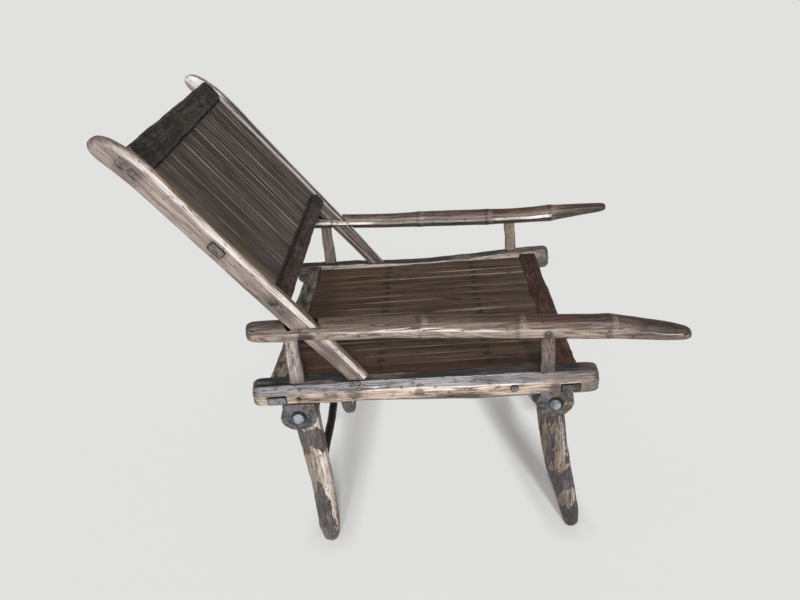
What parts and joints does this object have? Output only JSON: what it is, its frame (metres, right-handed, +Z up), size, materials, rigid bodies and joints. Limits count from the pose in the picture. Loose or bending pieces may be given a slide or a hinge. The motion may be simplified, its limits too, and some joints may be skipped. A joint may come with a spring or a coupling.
{
  "type": "bamboo lounge chair with folding legs",
  "caption": "Low slatted lounge chair: poles for seat rails and long tapered arms, a raked slatted back held by stiles through the arms, and leg pairs that fold on cross axles.",
  "frame": {"origin": "on the floor, in the middle of the chair's outline seen from above, standing on unfolded legs", "axes": "+X towards the front (the arm tips), +Y to the sitter's left, +Z up"},
  "size_m": [1.0028, 0.7, 0.9358],
  "materials": {
    "rail": "weathered grey-brown bamboo, hewn facets worn smooth",
    "arm": "hand-polished brown bamboo with raised node rings",
    "stile": "pale pinkish-brown bamboo lath, edges polished by wear",
    "post": "split bamboo lath, weathered",
    "bar": "very dark bamboo, pitted and rubbed",
    "slat": "dark olive-brown split bamboo strips with a fine grain",
    "hanger": "dark grey hardwood-like bamboo root block, rough",
    "leg": "bamboo with the dark skin peeling off a pale body",
    "rod": "near-black smoked bamboo rod",
    "pin": "light grey end-grain peg"
  },
  "bodies": {
    "frame": {"arm_left": "arm", "arm_right": "arm", "back_bar_low": "bar", "back_bar_top": "bar", "back_slat_panel": "slat", "back_stile_left": "stile", "back_stile_right": "stile", "front_hanger_cap_left": "hanger", "front_hanger_cap_right": "hanger", "front_hanger_left": "hanger", "front_hanger_right": "hanger", "front_post_left": "post", "front_post_pin_left": "pin", "front_post_pin_right": "pin", "front_post_right": "post", "rear_hanger_cap_left": "hanger", "rear_hanger_cap_right": "hanger", "rear_hanger_left": "hanger", "rear_hanger_right": "hanger", "rear_post_left": "post", "rear_post_pin_left": "pin", "rear_post_pin_right": "pin", "rear_post_right": "post", "seat_bar_front": "bar", "seat_bar_rear": "bar", "seat_batten_front": "bar", "seat_batten_rear": "bar", "seat_cross_rod": "rod", "seat_rail_left": "rail", "seat_rail_right": "rail", "seat_slat_01": "slat", "seat_slat_02": "slat", "seat_slat_03": "slat", "seat_slat_04": "slat", "seat_slat_05": "slat", "seat_slat_06": "slat", "seat_slat_07": "slat", "seat_slat_08": "slat", "seat_slat_09": "slat", "seat_slat_10": "slat", "seat_slat_11": "slat", "seat_slat_12": "slat", "seat_slat_13": "slat", "seat_slat_14": "slat", "seat_slat_15": "slat", "seat_slat_16": "slat", "seat_slat_17": "slat", "stile_pin_arm_left": "pin", "stile_pin_arm_right": "pin", "stile_pin_rail_left": "pin", "stile_pin_rail_right": "pin"},
    "rear_legs": {"rear_axle": "rod", "rear_leg_left": "leg", "rear_leg_right": "leg", "rear_leg_stretcher": "rod"},
    "front_legs": {"front_axle": "rod", "front_leg_left": "leg", "front_leg_right": "leg", "front_leg_stretcher": "rod"}
  },
  "joints": [
    {"name": "rear_legs_fold", "type": "hinge", "parent": "frame", "child": "rear_legs", "pos_m": [-0.22558, 0, 0.367], "axis": [0, 1, 0], "range_deg": [0, 88]},
    {"name": "front_legs_fold", "type": "hinge", "parent": "frame", "child": "front_legs", "pos_m": [0.26442, 0, 0.367], "axis": [0, 1, 0], "range_deg": [0, 88]}
  ]
}
